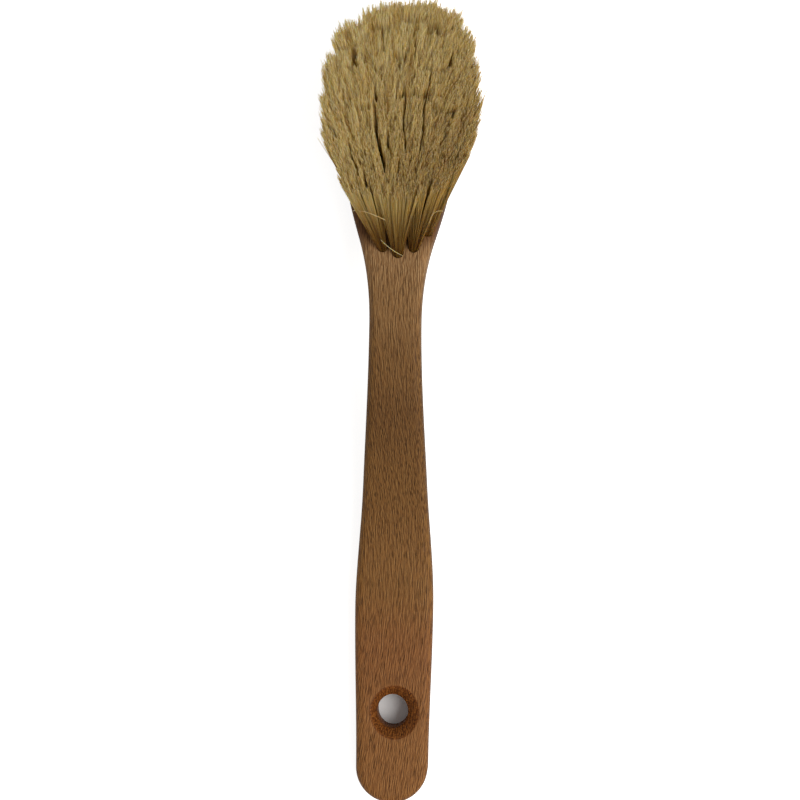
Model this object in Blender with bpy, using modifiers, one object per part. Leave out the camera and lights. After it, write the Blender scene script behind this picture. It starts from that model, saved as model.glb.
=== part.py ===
"""A boot brush: one block of oiled beech with a flat handle, an arched neck and an oval head,
set with tufts of pale natural fibre. Each tuft is a bundle folded over a flat metal anchor and
driven into a blind hole. The brush lies on its back. +Y runs from the tail to the bristles, +Z is
up, and the origin is on the flat back of the handle."""

import math

import bmesh
import bpy
from mathutils import Matrix, Vector

MM = 0.001

# Lengths along the block
ORIGIN_FROM_TAIL = 61.5 * MM
HANG_HOLE_FROM_TAIL = 32.1 * MM
FLAT_LENGTH = 79.0 * MM  # of the flat handle, from the end of the tail
GRIP_BEFORE_ARCH = 10.5 * MM  # the widest place of the handle, back from the end of its flat
WAIST_PAST_FLAT = 32.0 * MM
ARCH_LENGTH = 89.0 * MM  # from the end of the flat to the crest of the neck
FLARE_PAST_CREST = 28.0 * MM
HEAD_PAST_CREST = 54.0 * MM  # the widest place of the head
NOSE_LENGTH = 27.5 * MM  # from the widest place of the head to its end

# Widths of the block, seen from above
TAIL_WIDTH = 25.2 * MM
GRIP_WIDTH = 27.3 * MM
WAIST_WIDTH = 22.2 * MM
NECK_WIDTH = 17.6 * MM
FLARE_WIDTH = 25.3 * MM
FLARE_SLOPE = 0.30  # half width gained along the length, where the neck opens into the head
HEAD_WIDTH = 36.2 * MM

# Thicknesses of the block, and how far its neck arches up
HANDLE_THICKNESS = 13.0 * MM
NECK_THICKNESS = 13.5 * MM
HEAD_THICKNESS = 15.8 * MM
NOSE_THICKNESS = 9.6 * MM
ARCH_RISE = 20.0 * MM
EDGE_RADIUS = 3.0 * MM
EDGE_SEGMENTS = 3

# Hanging hole, drawn out a little along the handle
HANG_HOLE_WIDTH = 10.9 * MM
HANG_HOLE_DRAW = 1.10  # its length over its width
COUNTERSINK_WIDTH = 16.5 * MM
COUNTERSINK_DEPTH = 2.9 * MM
COUNTERSINK_TO_RIGHT = 0.8 * MM  # its mouth is drilled off the bore by so much
BACK_CHAMFER = 1.0 * MM

# Tuft holes: an outer and a middle oval row, and two pairs inside them, evenly spaced
FIRST_TUFT_PAST_CREST = 23.8 * MM
LAST_TUFT_TO_NOSE = 5.9 * MM
FIELD_TO_RIGHT = 0.7 * MM
OUTER_ROW_MARGIN = 4.1 * MM  # from the sides of the head to the outer row
TUFTS_IN_OUTER_ROW = 16
TUFTS_IN_MIDDLE_ROW = 9
HOLE_DIAMETER = 3.9 * MM
HOLE_DEPTH = 7.6 * MM
HOLE_WALL = 1.3 * MM  # wood between the holes of an inner pair, at the face
PAIR_SPACING = 10.2 * MM  # along the head
STRAY_SHIFT = (1.3 * MM, 2.5 * MM)  # how far off its place the last hole but one of the outer row is

# Tufts: how they lean and open out, and the strands of each
BRISTLE_LENGTH = 36.0 * MM
FIRST_LEAN = math.radians(32)  # towards the bristle end, at the tufts next to the neck
LAST_LEAN = math.radians(65)  # the same, at the tufts on the nose
LEAN_CURVE = 1.7  # over 1, the lean grows most near the nose
SIDE_FAN = 0.72  # a tip stands this much further from the middle than its hole, over the hole's x
TIPS_TO_RIGHT = 1.4 * MM
TIP_RAGGEDNESS = 1.6 * MM
TUFT_SIDES = 8
CAP_HEIGHT = 1.4 * MM  # of the bound root above the middle of its hole
CAP_RING_SHARE = 0.29  # of the root's radius, the ring of cells around the middle ones
PARTED_HEIGHT = 9.0 * MM  # where the strands of a tuft stand clear of each other
OPENING_CURVE = 1.15  # over 1, the strands open out more towards their tips
STRAND_WIDTH_SHARE = 0.85  # of its cell on the root's cap, once a strand has parted

# Anchors: flat metal staples across the fold of each tuft
ANCHOR_HEIGHT = 1.6 * MM
ANCHOR_THICKNESS = 0.45 * MM
FOLD_THICKNESS = 1.0 * MM  # of the fibres that pass under the anchor

CLEARANCE = 0.3 * MM
CUT_PAST = 8.0 * MM  # how far the hole cutters stand out of the wood
END_STEPS = 7
MIDDLE_STEP = 6.0 * MM
HOLE_SIDES = 12
HANG_HOLE_SIDES = 28
HAIR = 0.1 * MM  # closer than this counts as the same place

GRIP_FROM_TAIL = FLAT_LENGTH - GRIP_BEFORE_ARCH
WAIST_FROM_TAIL = FLAT_LENGTH + WAIST_PAST_FLAT
CREST_FROM_TAIL = FLAT_LENGTH + ARCH_LENGTH
FLARE_FROM_TAIL = CREST_FROM_TAIL + FLARE_PAST_CREST
HEAD_FROM_TAIL = CREST_FROM_TAIL + HEAD_PAST_CREST
BLOCK_LENGTH = HEAD_FROM_TAIL + NOSE_LENGTH
NOSE_REST = BLOCK_LENGTH - EDGE_RADIUS  # where the back of the nose meets the ground
CREST_HEIGHT = HANDLE_THICKNESS + ARCH_RISE
TAIL_RADIUS = TAIL_WIDTH / 2
FIRST_TUFT = CREST_FROM_TAIL + FIRST_TUFT_PAST_CREST
LAST_TUFT = BLOCK_LENGTH - LAST_TUFT_TO_NOSE
HOLE_RADIUS = HOLE_DIAMETER / 2
ROOT_RADIUS = HOLE_RADIUS - CLEARANCE
WINDOW_HEIGHT = ANCHOR_HEIGHT + 2 * CLEARANCE
WINDOW_THICKNESS = ANCHOR_THICKNESS + 2 * CLEARANCE


def hermite(knots, at):
    """A smooth curve through knots of (place, value, slope)."""
    if at <= knots[0][0]:
        return knots[0][1]
    for (x0, v0, s0), (x1, v1, s1) in zip(knots, knots[1:]):
        if at <= x1:
            span = x1 - x0
            t = (at - x0) / span
            rise = t * t * (3 - 2 * t)
            start = span * s0 * t * (1 - t) ** 2
            end = span * s1 * t * t * (t - 1)
            return v0 + (v1 - v0) * rise + start + end
    return knots[-1][1]


WAIST_SLOPE = (NECK_WIDTH - GRIP_WIDTH) / 2 / (CREST_FROM_TAIL - GRIP_FROM_TAIL)
OUTLINE = (
    (TAIL_RADIUS, TAIL_WIDTH / 2, 0),
    (GRIP_FROM_TAIL, GRIP_WIDTH / 2, 0),
    (WAIST_FROM_TAIL, WAIST_WIDTH / 2, WAIST_SLOPE),
    (CREST_FROM_TAIL, NECK_WIDTH / 2, 0),
    (FLARE_FROM_TAIL, FLARE_WIDTH / 2, FLARE_SLOPE),
    (HEAD_FROM_TAIL, HEAD_WIDTH / 2, 0),
)


def half_width(along):
    """Half the block's width, at a distance from the end of the tail."""
    width = hermite(OUTLINE, along)
    into_tail = max(0, 1 - along / TAIL_RADIUS)
    into_nose = max(0, (along - HEAD_FROM_TAIL) / NOSE_LENGTH)
    return width * math.sqrt(1 - into_tail**2) * math.sqrt(1 - into_nose**2)


def face_height(along):
    """Height of the upper face: flat handle, arched neck, crowned head."""
    if along <= CREST_FROM_TAIL:
        knots = ((FLAT_LENGTH, HANDLE_THICKNESS, 0), (CREST_FROM_TAIL, CREST_HEIGHT, 0))
        return hermite(knots, along)
    past = (along - CREST_FROM_TAIL) / (NOSE_REST - CREST_FROM_TAIL)
    return CREST_HEIGHT - (CREST_HEIGHT - NOSE_THICKNESS) * past * past


def face_slope(along):
    """Rise of the upper face along the length."""
    return (face_height(along + HAIR) - face_height(along - HAIR)) / (2 * HAIR)


def back_height(along):
    """Height of the back: on the ground along the handle, and again under the nose."""
    if along <= FLAT_LENGTH or along >= NOSE_REST:
        return 0.0
    head_middle = (CREST_FROM_TAIL + NOSE_REST) / 2
    thickness = (
        (FLAT_LENGTH, HANDLE_THICKNESS, 0),
        (CREST_FROM_TAIL, NECK_THICKNESS, 0),
        (head_middle, HEAD_THICKNESS, 0),
        (NOSE_REST, NOSE_THICKNESS, face_slope(NOSE_REST)),
    )
    return face_height(along) - hermite(thickness, along)


def on_face(x, along):
    """The point of the upper face at x and at a distance from the end of the tail."""
    return Vector((x, along - ORIGIN_FROM_TAIL, face_height(along)))


def collection(name):
    """A new collection in the scene."""
    made = bpy.data.collections.new(name)
    bpy.context.scene.collection.children.link(made)
    return made


def add_object(name, bm, home, material=None):
    """Turns a bmesh into an object of a collection."""
    mesh = bpy.data.meshes.new(name)
    bm.to_mesh(mesh)
    bm.free()
    if material:
        mesh.materials.append(material)
    made = bpy.data.objects.new(name, mesh)
    home.objects.link(made)
    return made


def principled(name, colour, roughness, metallic=0.0):
    """A plain material."""
    made = bpy.data.materials.new(name)
    made.use_nodes = True
    shader = made.node_tree.nodes["Principled BSDF"]
    shader.inputs["Base Color"].default_value = (*colour, 1.0)
    shader.inputs["Roughness"].default_value = roughness
    shader.inputs["Metallic"].default_value = metallic
    made.diffuse_color = (*colour, 1.0)
    return made


def hide_as_cutter(cutter):
    """A cutter is left out of renders and drawn as a wire."""
    cutter.hide_render = True
    cutter.display_type = "WIRE"


def cut(target, cutter):
    """Takes the cutter away from the target with a Boolean modifier."""
    modifier = target.modifiers.new(f"cut_{cutter.name}", "BOOLEAN")
    modifier.operation = "DIFFERENCE"
    modifier.solver = "EXACT"
    modifier.object = cutter


def stations():
    """Distances from the tail at which the block's outline has its points."""
    turns = [math.pi / 2 * (k + 1) / END_STEPS for k in range(END_STEPS)]
    tail = [TAIL_RADIUS * (1 - math.cos(turn)) for turn in turns]
    nose = [HEAD_FROM_TAIL + NOSE_LENGTH * math.cos(turn) for turn in reversed(turns)]
    length = nose[0] - tail[-1]
    count = max(2, round(length / MIDDLE_STEP))
    middle = [tail[-1] + length * k / count for k in range(1, count)]
    return tail + middle + nose


def crosses_plain_end(edge, places):
    """Whether an edge lies across the flat handle or the nose, where edges must round freely."""
    left, right = edge.verts
    along = left.co.y + ORIGIN_FROM_TAIL
    inside = places[0] + HAIR < along < places[-1] - HAIR
    plain = along < FLAT_LENGTH + HAIR or along > NOSE_REST - 2 * EDGE_RADIUS
    return left.co.x * right.co.x < 0 and inside and plain


def make_block(home, wood):
    """The block: a strip along the outline, thickened between face and back, edges rounded."""
    places = stations()
    bm = bmesh.new()
    bmesh.ops.create_grid(bm, x_segments=1, y_segments=len(places) - 1, size=1)
    rows = sorted({round(v.co.y, 5) for v in bm.verts})
    for v in bm.verts:
        along = places[rows.index(round(v.co.y, 5))]
        v.co = on_face(math.copysign(half_width(along), v.co.x), along)
    grown = bmesh.ops.extrude_face_region(bm, geom=bm.faces[:])
    for v in grown["geom"]:
        if isinstance(v, bmesh.types.BMVert):
            v.co.z = back_height(v.co.y + ORIGIN_FROM_TAIL)
    bmesh.ops.dissolve_edges(bm, edges=[e for e in bm.edges if crosses_plain_end(e, places)])
    bmesh.ops.recalc_face_normals(bm, faces=bm.faces[:])
    block = add_object("beech_block", bm, home, wood)
    rounding = block.modifiers.new("rounded_edges", "BEVEL")
    rounding.width = EDGE_RADIUS
    rounding.segments = EDGE_SEGMENTS
    rounding.limit_method = "ANGLE"
    rounding.angle_limit = math.radians(45)
    return block


def hang_hole_cutter(home):
    """Turned cutter of the hanging hole: a countersink, a straight bore and a chamfer below."""
    bore = HANG_HOLE_WIDTH / 2
    mouth = COUNTERSINK_WIDTH / 2
    top = HANDLE_THICKNESS
    flare = (mouth - bore) / COUNTERSINK_DEPTH
    profile = (
        (0, top + COUNTERSINK_DEPTH),
        (mouth + flare * COUNTERSINK_DEPTH, top + COUNTERSINK_DEPTH),
        (bore, top - COUNTERSINK_DEPTH),
        (bore, BACK_CHAMFER),
        (bore + 2 * BACK_CHAMFER, -BACK_CHAMFER),
        (0, -BACK_CHAMFER),
    )
    bm = bmesh.new()
    points = [bm.verts.new((radius, 0, height)) for radius, height in profile]
    line = [bm.edges.new(pair) for pair in zip(points, points[1:])]
    bmesh.ops.spin(
        bm,
        geom=points + line,
        cent=(0, 0, 0),
        axis=(0, 0, 1),
        angle=2 * math.pi,
        steps=HANG_HOLE_SIDES,
        use_merge=True,
    )
    bmesh.ops.remove_doubles(bm, verts=bm.verts, dist=0.001 * MM)
    for v in bm.verts:
        if v.co.z > top:
            v.co.x += 2 * COUNTERSINK_TO_RIGHT
    bmesh.ops.recalc_face_normals(bm, faces=bm.faces[:])
    cutter = add_object("hang_hole_cutter", bm, home)
    cutter.scale.y = HANG_HOLE_DRAW
    cutter.location.y = HANG_HOLE_FROM_TAIL - ORIGIN_FROM_TAIL
    hide_as_cutter(cutter)
    return cutter


def hole_places():
    """Where the tuft holes meet the face, as (x, distance from the tail)."""
    middle = (FIRST_TUFT + LAST_TUFT) / 2
    outer_x = HEAD_WIDTH / 2 - OUTER_ROW_MARGIN
    outer_y = (LAST_TUFT - FIRST_TUFT) / 2
    pair_x = (HOLE_DIAMETER + HOLE_WALL) / 2
    pair_y = PAIR_SPACING / 2
    places = []
    for k in range(TUFTS_IN_OUTER_ROW):
        turn = 2 * math.pi * k / TUFTS_IN_OUTER_ROW
        places.append((outer_x * math.sin(turn), middle - outer_y * math.cos(turn)))
    x, along = places[-2]
    places[-2] = (x + STRAY_SHIFT[0], along + STRAY_SHIFT[1])
    middle_x = (outer_x + pair_x) / 2
    middle_y = (outer_y + pair_y) / 2
    for k in range(TUFTS_IN_MIDDLE_ROW):
        turn = 2 * math.pi * (k + 0.5) / TUFTS_IN_MIDDLE_ROW
        places.append((middle_x * math.sin(turn), middle - middle_y * math.cos(turn)))
    for x in (-pair_x, pair_x):
        places += [(x, middle - pair_y), (x, middle + pair_y)]
    return places


def tuft_frame(x, along):
    """Matrix of a tuft: origin where its hole meets the face, Z along the tuft, X across."""
    share = (along - FIRST_TUFT) / (LAST_TUFT - FIRST_TUFT)
    lean = FIRST_LEAN + (LAST_LEAN - FIRST_LEAN) * share**LEAN_CURVE
    sideways = (x * SIDE_FAN + TIPS_TO_RIGHT) / BRISTLE_LENGTH
    upright = math.sqrt(1 - sideways * sideways)
    axis = Vector((sideways, upright * math.sin(lean), upright * math.cos(lean)))
    across = (Vector((1, 0, 0)) - axis * axis.x).normalized()
    turn = Matrix((across, axis.cross(across), axis)).transposed().to_4x4()
    return Matrix.Translation(on_face(x + FIELD_TO_RIGHT, along)) @ turn


def tuft_holes_cutter(frames, home):
    """All the drilled holes as one cutter."""
    bm = bmesh.new()
    length = HOLE_DEPTH + CUT_PAST
    corner_radius = HOLE_RADIUS / math.cos(math.pi / HOLE_SIDES)
    for frame in frames:
        place = frame @ Matrix.Translation((0, 0, CUT_PAST - length / 2))
        bmesh.ops.create_cone(
            bm,
            cap_ends=True,
            segments=HOLE_SIDES,
            radius1=corner_radius,
            radius2=corner_radius,
            depth=length,
            matrix=place,
        )
    cutter = add_object("tuft_holes_cutter", bm, home)
    hide_as_cutter(cutter)
    return cutter


def root_with_window(home):
    """Mesh of a tuft's bound root, with the window that the anchor passes through."""
    bottom = -HOLE_DEPTH + CLEARANCE
    height = CAP_HEIGHT - bottom
    bm = bmesh.new()
    bmesh.ops.create_cone(
        bm,
        cap_ends=True,
        segments=TUFT_SIDES,
        radius1=ROOT_RADIUS,
        radius2=ROOT_RADIUS,
        depth=height,
        matrix=Matrix.Translation((0, 0, bottom + height / 2)),
    )
    root = add_object("root", bm, home)
    bm = bmesh.new()
    middle = bottom + FOLD_THICKNESS + WINDOW_HEIGHT / 2
    size = Matrix.Diagonal((4 * ROOT_RADIUS, WINDOW_THICKNESS, WINDOW_HEIGHT, 1))
    bmesh.ops.create_cube(bm, size=1, matrix=Matrix.Translation((0, 0, middle)) @ size)
    window = add_object("window_cutter", bm, home)
    cut(root, window)
    bpy.context.view_layer.update()
    shown = root.evaluated_get(bpy.context.evaluated_depsgraph_get())
    mesh = bpy.data.meshes.new_from_object(shown)
    bpy.data.objects.remove(root)
    bpy.data.objects.remove(window)
    return mesh


def tip_radius(frames):
    """How far a tuft can open at its tip before it meets the nearest other tuft."""
    tips = [frame @ Vector((0, 0, BRISTLE_LENGTH)) for frame in frames]
    gaps = [(a - b).length for k, a in enumerate(tips) for b in tips[:k]]
    return min(gaps) / 2


def strand_middle(cell, height, opened):
    """Where a strand's middle stands at a height, opening out from its cell on the cap."""
    risen = (height - CAP_HEIGHT) / BRISTLE_LENGTH
    place = cell.xy * (1 + (opened - 1) * risen**OPENING_CURVE)
    return Vector((*place, height))


def cap_cells(bm):
    """Divides the root's cap into a fan of cells with a ring of cells around it."""
    cap = max(bm.faces, key=lambda face: face.calc_center_median().z)
    ring = bmesh.ops.inset_region(bm, faces=[cap], thickness=ROOT_RADIUS * CAP_RING_SHARE)
    fan = bmesh.ops.poke(bm, faces=[cap])
    return fan["faces"] + ring["faces"]


def make_tuft(number, frame, root, opened, home, fibre):
    """A tuft: a strand of two lengths grows from each cell of its root's cap."""
    bm = bmesh.new()
    bm.from_mesh(root)
    cells = cap_cells(bm)
    middles = [face.calc_center_median() for face in cells]
    cuts = [TIP_RAGGEDNESS * (1 - math.sin(2.4 * k + 1.7 * number)) / 2 for k in range(len(cells))]
    for parted in (True, False):
        width = STRAND_WIDTH_SHARE if parted else 1
        cells = bmesh.ops.extrude_discrete_faces(bm, faces=cells)["faces"]
        for face, middle, cut_off in zip(cells, middles, cuts):
            before = face.calc_center_median()
            height = PARTED_HEIGHT if parted else BRISTLE_LENGTH - cut_off
            after = strand_middle(middle, height, opened)
            for v in face.verts:
                v.co = after + (v.co - before) * width
    bmesh.ops.recalc_face_normals(bm, faces=bm.faces[:])
    tuft = add_object(f"tuft_{number:02d}", bm, home, fibre)
    tuft.matrix_world = frame
    return tuft


def make_anchor(number, frame, home, metal):
    """An anchor: a flat staple through the fold of its tuft, from wall to wall of the hole."""
    low = -HOLE_DEPTH + CLEARANCE + FOLD_THICKNESS + CLEARANCE
    half_thick = ANCHOR_THICKNESS / 2
    reach = math.sqrt(HOLE_RADIUS**2 - half_thick**2) - CLEARANCE
    bm = bmesh.new()
    size = Matrix.Diagonal((2 * reach, ANCHOR_THICKNESS, ANCHOR_HEIGHT, 1))
    place = Matrix.Translation((0, 0, low + ANCHOR_HEIGHT / 2))
    bmesh.ops.create_cube(bm, size=1, matrix=place @ size)
    anchor = add_object(f"anchor_{number:02d}", bm, home, metal)
    anchor.matrix_world = frame
    return anchor


def build():
    """Makes the whole brush."""
    for old in list(bpy.data.objects):
        bpy.data.objects.remove(old)
    parts = collection("boot_brush")
    cutters = collection("cutters")
    wood = principled("oiled_beech", (0.20, 0.095, 0.038), 0.55)
    fibre = principled("pale_fibre", (0.30, 0.21, 0.09), 0.6)
    metal = principled("anchor_steel", (0.55, 0.55, 0.56), 0.35, 1.0)

    frames = [tuft_frame(x, along) for x, along in hole_places()]
    block = make_block(parts, wood)
    cut(block, hang_hole_cutter(cutters))
    cut(block, tuft_holes_cutter(frames, cutters))
    root = root_with_window(cutters)
    opened = tip_radius(frames) / ROOT_RADIUS
    for number, frame in enumerate(frames, start=1):
        make_tuft(number, frame, root, opened, parts, fibre)
        make_anchor(number, frame, parts, metal)
    bpy.data.meshes.remove(root)
    block.data.shade_smooth()
    block.data.set_sharp_from_angle(angle=math.radians(35))


build()
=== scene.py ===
"""A boot brush on a pale floor, seen from straight above: a block of oiled beech with fine flecks,
and twenty-nine tufts of straw-coloured plant fibre, each strand folded round a steel anchor."""

import math

import bmesh
import bpy
import numpy as np
from mathutils import Matrix, Vector


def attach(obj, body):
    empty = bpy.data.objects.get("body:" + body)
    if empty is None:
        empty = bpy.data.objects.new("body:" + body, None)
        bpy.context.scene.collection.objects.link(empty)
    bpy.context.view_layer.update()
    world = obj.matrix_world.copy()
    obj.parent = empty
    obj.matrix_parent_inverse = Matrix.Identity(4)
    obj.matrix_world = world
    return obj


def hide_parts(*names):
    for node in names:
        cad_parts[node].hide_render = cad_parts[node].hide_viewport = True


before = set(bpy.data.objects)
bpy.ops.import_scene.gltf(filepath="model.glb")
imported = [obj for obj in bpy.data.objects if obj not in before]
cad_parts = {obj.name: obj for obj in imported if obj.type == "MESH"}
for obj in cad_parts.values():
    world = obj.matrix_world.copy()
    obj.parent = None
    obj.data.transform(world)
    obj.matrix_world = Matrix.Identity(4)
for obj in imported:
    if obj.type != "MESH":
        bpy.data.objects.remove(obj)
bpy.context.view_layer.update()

MM = 0.001
PHOTO_SIDE = 800  # pixels

# The block, as in the CAD model: distances along it are from the end of the tail
ORIGIN_FROM_TAIL = 61.5 * MM
HANG_HOLE_FROM_TAIL = 32.1 * MM
FLAT_LENGTH = 79.0 * MM
GRIP_FROM_TAIL = 68.5 * MM
WAIST_FROM_TAIL = 111.0 * MM
CREST_FROM_TAIL = 168.0 * MM
FLARE_FROM_TAIL = 196.0 * MM
HEAD_FROM_TAIL = 222.0 * MM
BLOCK_LENGTH = 249.5 * MM
NOSE_LENGTH = BLOCK_LENGTH - HEAD_FROM_TAIL
TAIL_WIDTH = 25.2 * MM
TAIL_RADIUS = TAIL_WIDTH / 2
GRIP_WIDTH = 27.3 * MM
WAIST_WIDTH = 22.2 * MM
NECK_WIDTH = 17.6 * MM
FLARE_WIDTH = 25.3 * MM
FLARE_SLOPE = 0.30
HEAD_WIDTH = 36.2 * MM
HANDLE_THICKNESS = 13.0 * MM
NECK_THICKNESS = 13.5 * MM
HEAD_THICKNESS = 15.8 * MM
NOSE_THICKNESS = 9.6 * MM
CREST_HEIGHT = 33.0 * MM
EDGE_RADIUS = 3.0 * MM
NOSE_REST = BLOCK_LENGTH - EDGE_RADIUS

# Hanging hole
HANG_HOLE_WIDTH = 10.9 * MM
HANG_HOLE_DRAW = 1.10
COUNTERSINK_WIDTH = 16.5 * MM
COUNTERSINK_DEPTH = 2.9 * MM
COUNTERSINK_TO_RIGHT = 0.8 * MM  # its mouth is drilled off the bore by so much
BACK_CHAMFER = 1.0 * MM
RIM_SOFTNESS = 0.5 * MM
HANG_HOLE_SIDES = 96

# Tufts: where their holes are and how they lean
FIRST_TUFT = 191.8 * MM
LAST_TUFT = 243.6 * MM
FIELD_TO_RIGHT = 0.7 * MM
OUTER_ROW_HALF_WIDTH = 14.0 * MM
PAIR_HALF_WIDTH = 2.6 * MM
PAIR_HALF_LENGTH = 5.1 * MM
TUFTS_IN_OUTER_ROW = 16
TUFTS_IN_MIDDLE_ROW = 9
STRAY_SHIFT = (1.3 * MM, 2.5 * MM)  # how far off its place the last hole but one of the outer row is
HOLE_RADIUS = 1.95 * MM
HOLE_DEPTH = 7.6 * MM
BRISTLE_LENGTH = 36.0 * MM
FIRST_LEAN = math.radians(32)
LAST_LEAN = math.radians(65)
LEAN_CURVE = 1.7
SIDE_FAN = 0.72
TIPS_TO_RIGHT = 1.4 * MM
HOLE_SIDES = 28
ANCHOR_FOOT = -6.0 * MM  # underside of the anchor, from the mouth of the hole

# Fineness of the block's mesh
BLOCK_END_STEPS = 26
BLOCK_STEP = 1.5 * MM
ROUNDING_STEPS = 8
CUTTER_RISE = 3 * MM  # how far the hanging hole's cutter stands out of the face
TUFT_CUTTER_RISE = 8 * MM  # how much longer than the tufts' holes their cutters are

# Figure of the wood, by how far along the block, 0 to 1
GRAIN_DRIFT = ((0.0, 0.0), (0.17, 0.55), (0.32, 0.72), (0.45, 0.62), (0.62, 0.2), (0.72, 0.12), (1.0, 0.1))
GRAIN_DRIFT_WIDTH = 14 * MM  # how far to the right a drift of 1 takes the grain
# Factors on the wood's finish, by how far along the block, 0 to 1. They were fitted to averages of the
# photograph's tone there, so they take in some of its light and shade, most of all the last one, for
# the head
TONE_ALONG = (
    (0.07, (0.776, 0.584, 0.382)),
    (0.21, (0.722, 0.516, 0.343)),
    (0.315, (0.680, 0.553, 0.339)),
    (0.448, (0.560, 0.460, 0.271)),
    (0.546, (0.462, 0.375, 0.225)),
    (0.615, (0.571, 0.490, 0.323)),
    (0.70, (0.786, 0.737, 0.629)),
    (0.765, (1.0, 1.0, 1.0)),
    (0.80, (0.40, 0.29, 0.20)),
)
STREAKS_PER_METRE = (2600, 205, 700)
PORES_PER_METRE = (3600, 520, 1100)
FLECKS_PER_METRE = (1900, 200, 1100)
SIDE_FINENESS = 2.6  # how much finer the figure is in height, where the block's sides are seen
STREAK_SLOPE = 0.45  # how far aside a streak is compared with itself, to paint a highlight and shade on the two sides of its slope

# Strands
STRAND_SIDES = 3
STRANDS_IN_TUFT = 660  # folded ones, so twice as many ends
FREE_STEPS = 3
FOLD_STEPS = 2
STATION_SHARES = [1 - k / FREE_STEPS for k in range(FREE_STEPS + 1)]
STATIONS = 2 * (FREE_STEPS + 2) + FOLD_STEPS - 1
STRAND_RADII = (0.055 * MM, 0.10 * MM)
DOME_MIDDLE = 160 * MM
DOME_SIZE = 40 * MM
TRIM_SHARE = 0.8  # how much of the way to the common dome the tips are trimmed
WAIST_RADIUS = 1.6 * MM  # of a tuft where it comes out of its hole
BASE_SPREAD = (0.82, 1.14)  # how far out a strand stands there, as a share of its even place
FOLD_GAP = 0.36 * MM  # half the gap between the legs of a tuft, where its anchor sits
FOLD_WIDTH = 0.92  # of the fold under the anchor, as a share of the waist
FOLD_DEPTH = 0.8  # as a share of half the fold's thickness
OUTER_SPREAD = (4.3 * MM, 7.6 * MM)  # radii of an outer tuft's tips, outwards and along its row
MIDDLE_SPREAD = (5.8 * MM, 8.0 * MM)  # of a middle tuft's, across and along the brush
INNER_SPREAD = (5.0 * MM, 7.8 * MM)
SQUARENESS = 0.7  # how far the round bundle has become square where it is packed among others
LOCKS_IN_TUFT = 24
LOCK_PULL = 0.06  # how far a strand's tip is drawn to the middle of its lock
LOCK_SHIFT = 0.25 * MM
LOCK_BOW = 0.20 * MM
STRAND_BOW = 0.06 * MM
BOW_CURVE = 1.06  # above 1, the strands open out later on their way up
OUTER_RAGGED = 2.7 * MM  # how far the tips of an outer tuft differ in length
INNER_RAGGED = 1.4 * MM
RIDGE_TURN = 0.022  # radians: strands with bearings as close as this share a length and a tone
LOCK_TURN = 0.09
RIDGE_DEVIATION = 0.45 * MM
LOCK_DEVIATION = 0.4 * MM
RIDGE_TONE = 0.07
STRAND_TONE = 0.06
LOOSE_SHARE = 0.08  # the share of the strands that stand off from their lock
LOOSE_SPREAD = 0.8 * MM
KEPT_SPREAD = 0.10 * MM
FARTHEST = 1.8  # times these spreads
SHORT_SHARE = 0.12  # the share of the strands that are broken or worn short
SHORT_BY = 2.4 * MM
SHORTEST_BY = 8 * MM
FAN_MIDDLE = (0.5 * MM, 180 * MM)
FAN_REACH = 40 * MM  # how far behind a place the bristles around it would meet, seen from above
STRAYS = (  # loose fibres: from, towards and to, in mm
    ((-4.8, 133.8, 38.5), (-1.4, 130.4, 37.0), (2.3, 129.1, 32.3)),
    ((-13.7, 142.6, 46.0), (-9.5, 142.3, 57.0), (-2.4, 138.8, 56.0)),
    ((16.4, 142.4, 52.0), (12.8, 142.6, 56.0), (12.0, 138.4, 52.0)),
)
STRAY_RADIUS = 0.14 * MM
PARTING_REACH = 1.7 * MM  # how far from a parting the tips are still pushed aside
PARTING_WAVER = 0.16 * MM
PARTING_BEND = 0.35 * MM
PARTING_HEED = (0.4, 1.1)  # how much of the push a strand takes
PARTINGS = (  # dark gaps among the tips, seen from above: from, to and half their width, in mm
    ((-7.8, 181.0), (-2.6, 154.0), 1.5),
    ((2.8, 186.0), (4.1, 157.0), 0.7),
    ((11.9, 195.0), (8.8, 162.0), 0.8),
    ((-18.2, 184.0), (-16.0, 176.0), 0.8),
    ((-15.8, 166.5), (-11.2, 153.0), 0.9),
    ((-10.5, 156.0), (-6.7, 147.0), 0.9),
    ((-2.7, 169.0), (-0.9, 160.0), 0.7),
    ((8.2, 150.0), (7.0, 142.0), 0.8),
    ((12.8, 153.0), (11.4, 144.0), 0.8),
    ((5.3, 211.0), (5.9, 196.0), 0.7),
    ((-0.3, 175.0), (1.7, 169.5), 0.7),
)
LEANING = {  # how far the tips of a tuft have been pressed aside and along, in mm
    1: (0, 0.9),
    2: (0, 0.9),
    3: (-1.0, 1.5),
    4: (-1.6, 0.5),
    5: (-1.4, 0),
    6: (-0.8, 0),
    7: (1.4, 0.8),
    8: (3.8, 2.3),
    9: (3.6, 1.8),
    10: (1.2, 1.6),
    11: (-1.2, 2.2),
    12: (-0.8, 0),
    13: (1.0, 0),
    14: (0.7, 0),
    15: (-2.4, 0),
    16: (-4.0, 0.6),
    17: (0.5, -1.2),
    18: (1.2, -1.5),
    19: (1.0, 1.5),
    20: (1.2, 3.5),
    21: (1.0, 3.2),
    22: (-1.0, 3.5),
    23: (-1.0, 1.5),
    24: (-1.2, -1.0),
    25: (-0.7, -1.2),
    27: (0.3, 1.5),
    29: (0.6, 2.5),
}
HEEL_TIPS = (212 * MM, 150 * MM)  # towards the heel the fibres are darker, as in the photograph
RIGHT_TIPS = (-16 * MM, 20 * MM)  # and towards the right, where it shows them in shade

# Floor and light
FLOOR_GLOW = 0.72
UNLIT_IN_HOLE = (8 * MM, 11 * MM)  # from the middle of the hanging hole: no glow, full glow
WORLD_LIGHT = 0.44
KEY_LIGHT = {"azimuth": -18, "elevation": 52, "distance": 1.1, "size": 0.8, "power": 9.6}
LIT_PLACE = (0, 80 * MM, 15 * MM)

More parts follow.
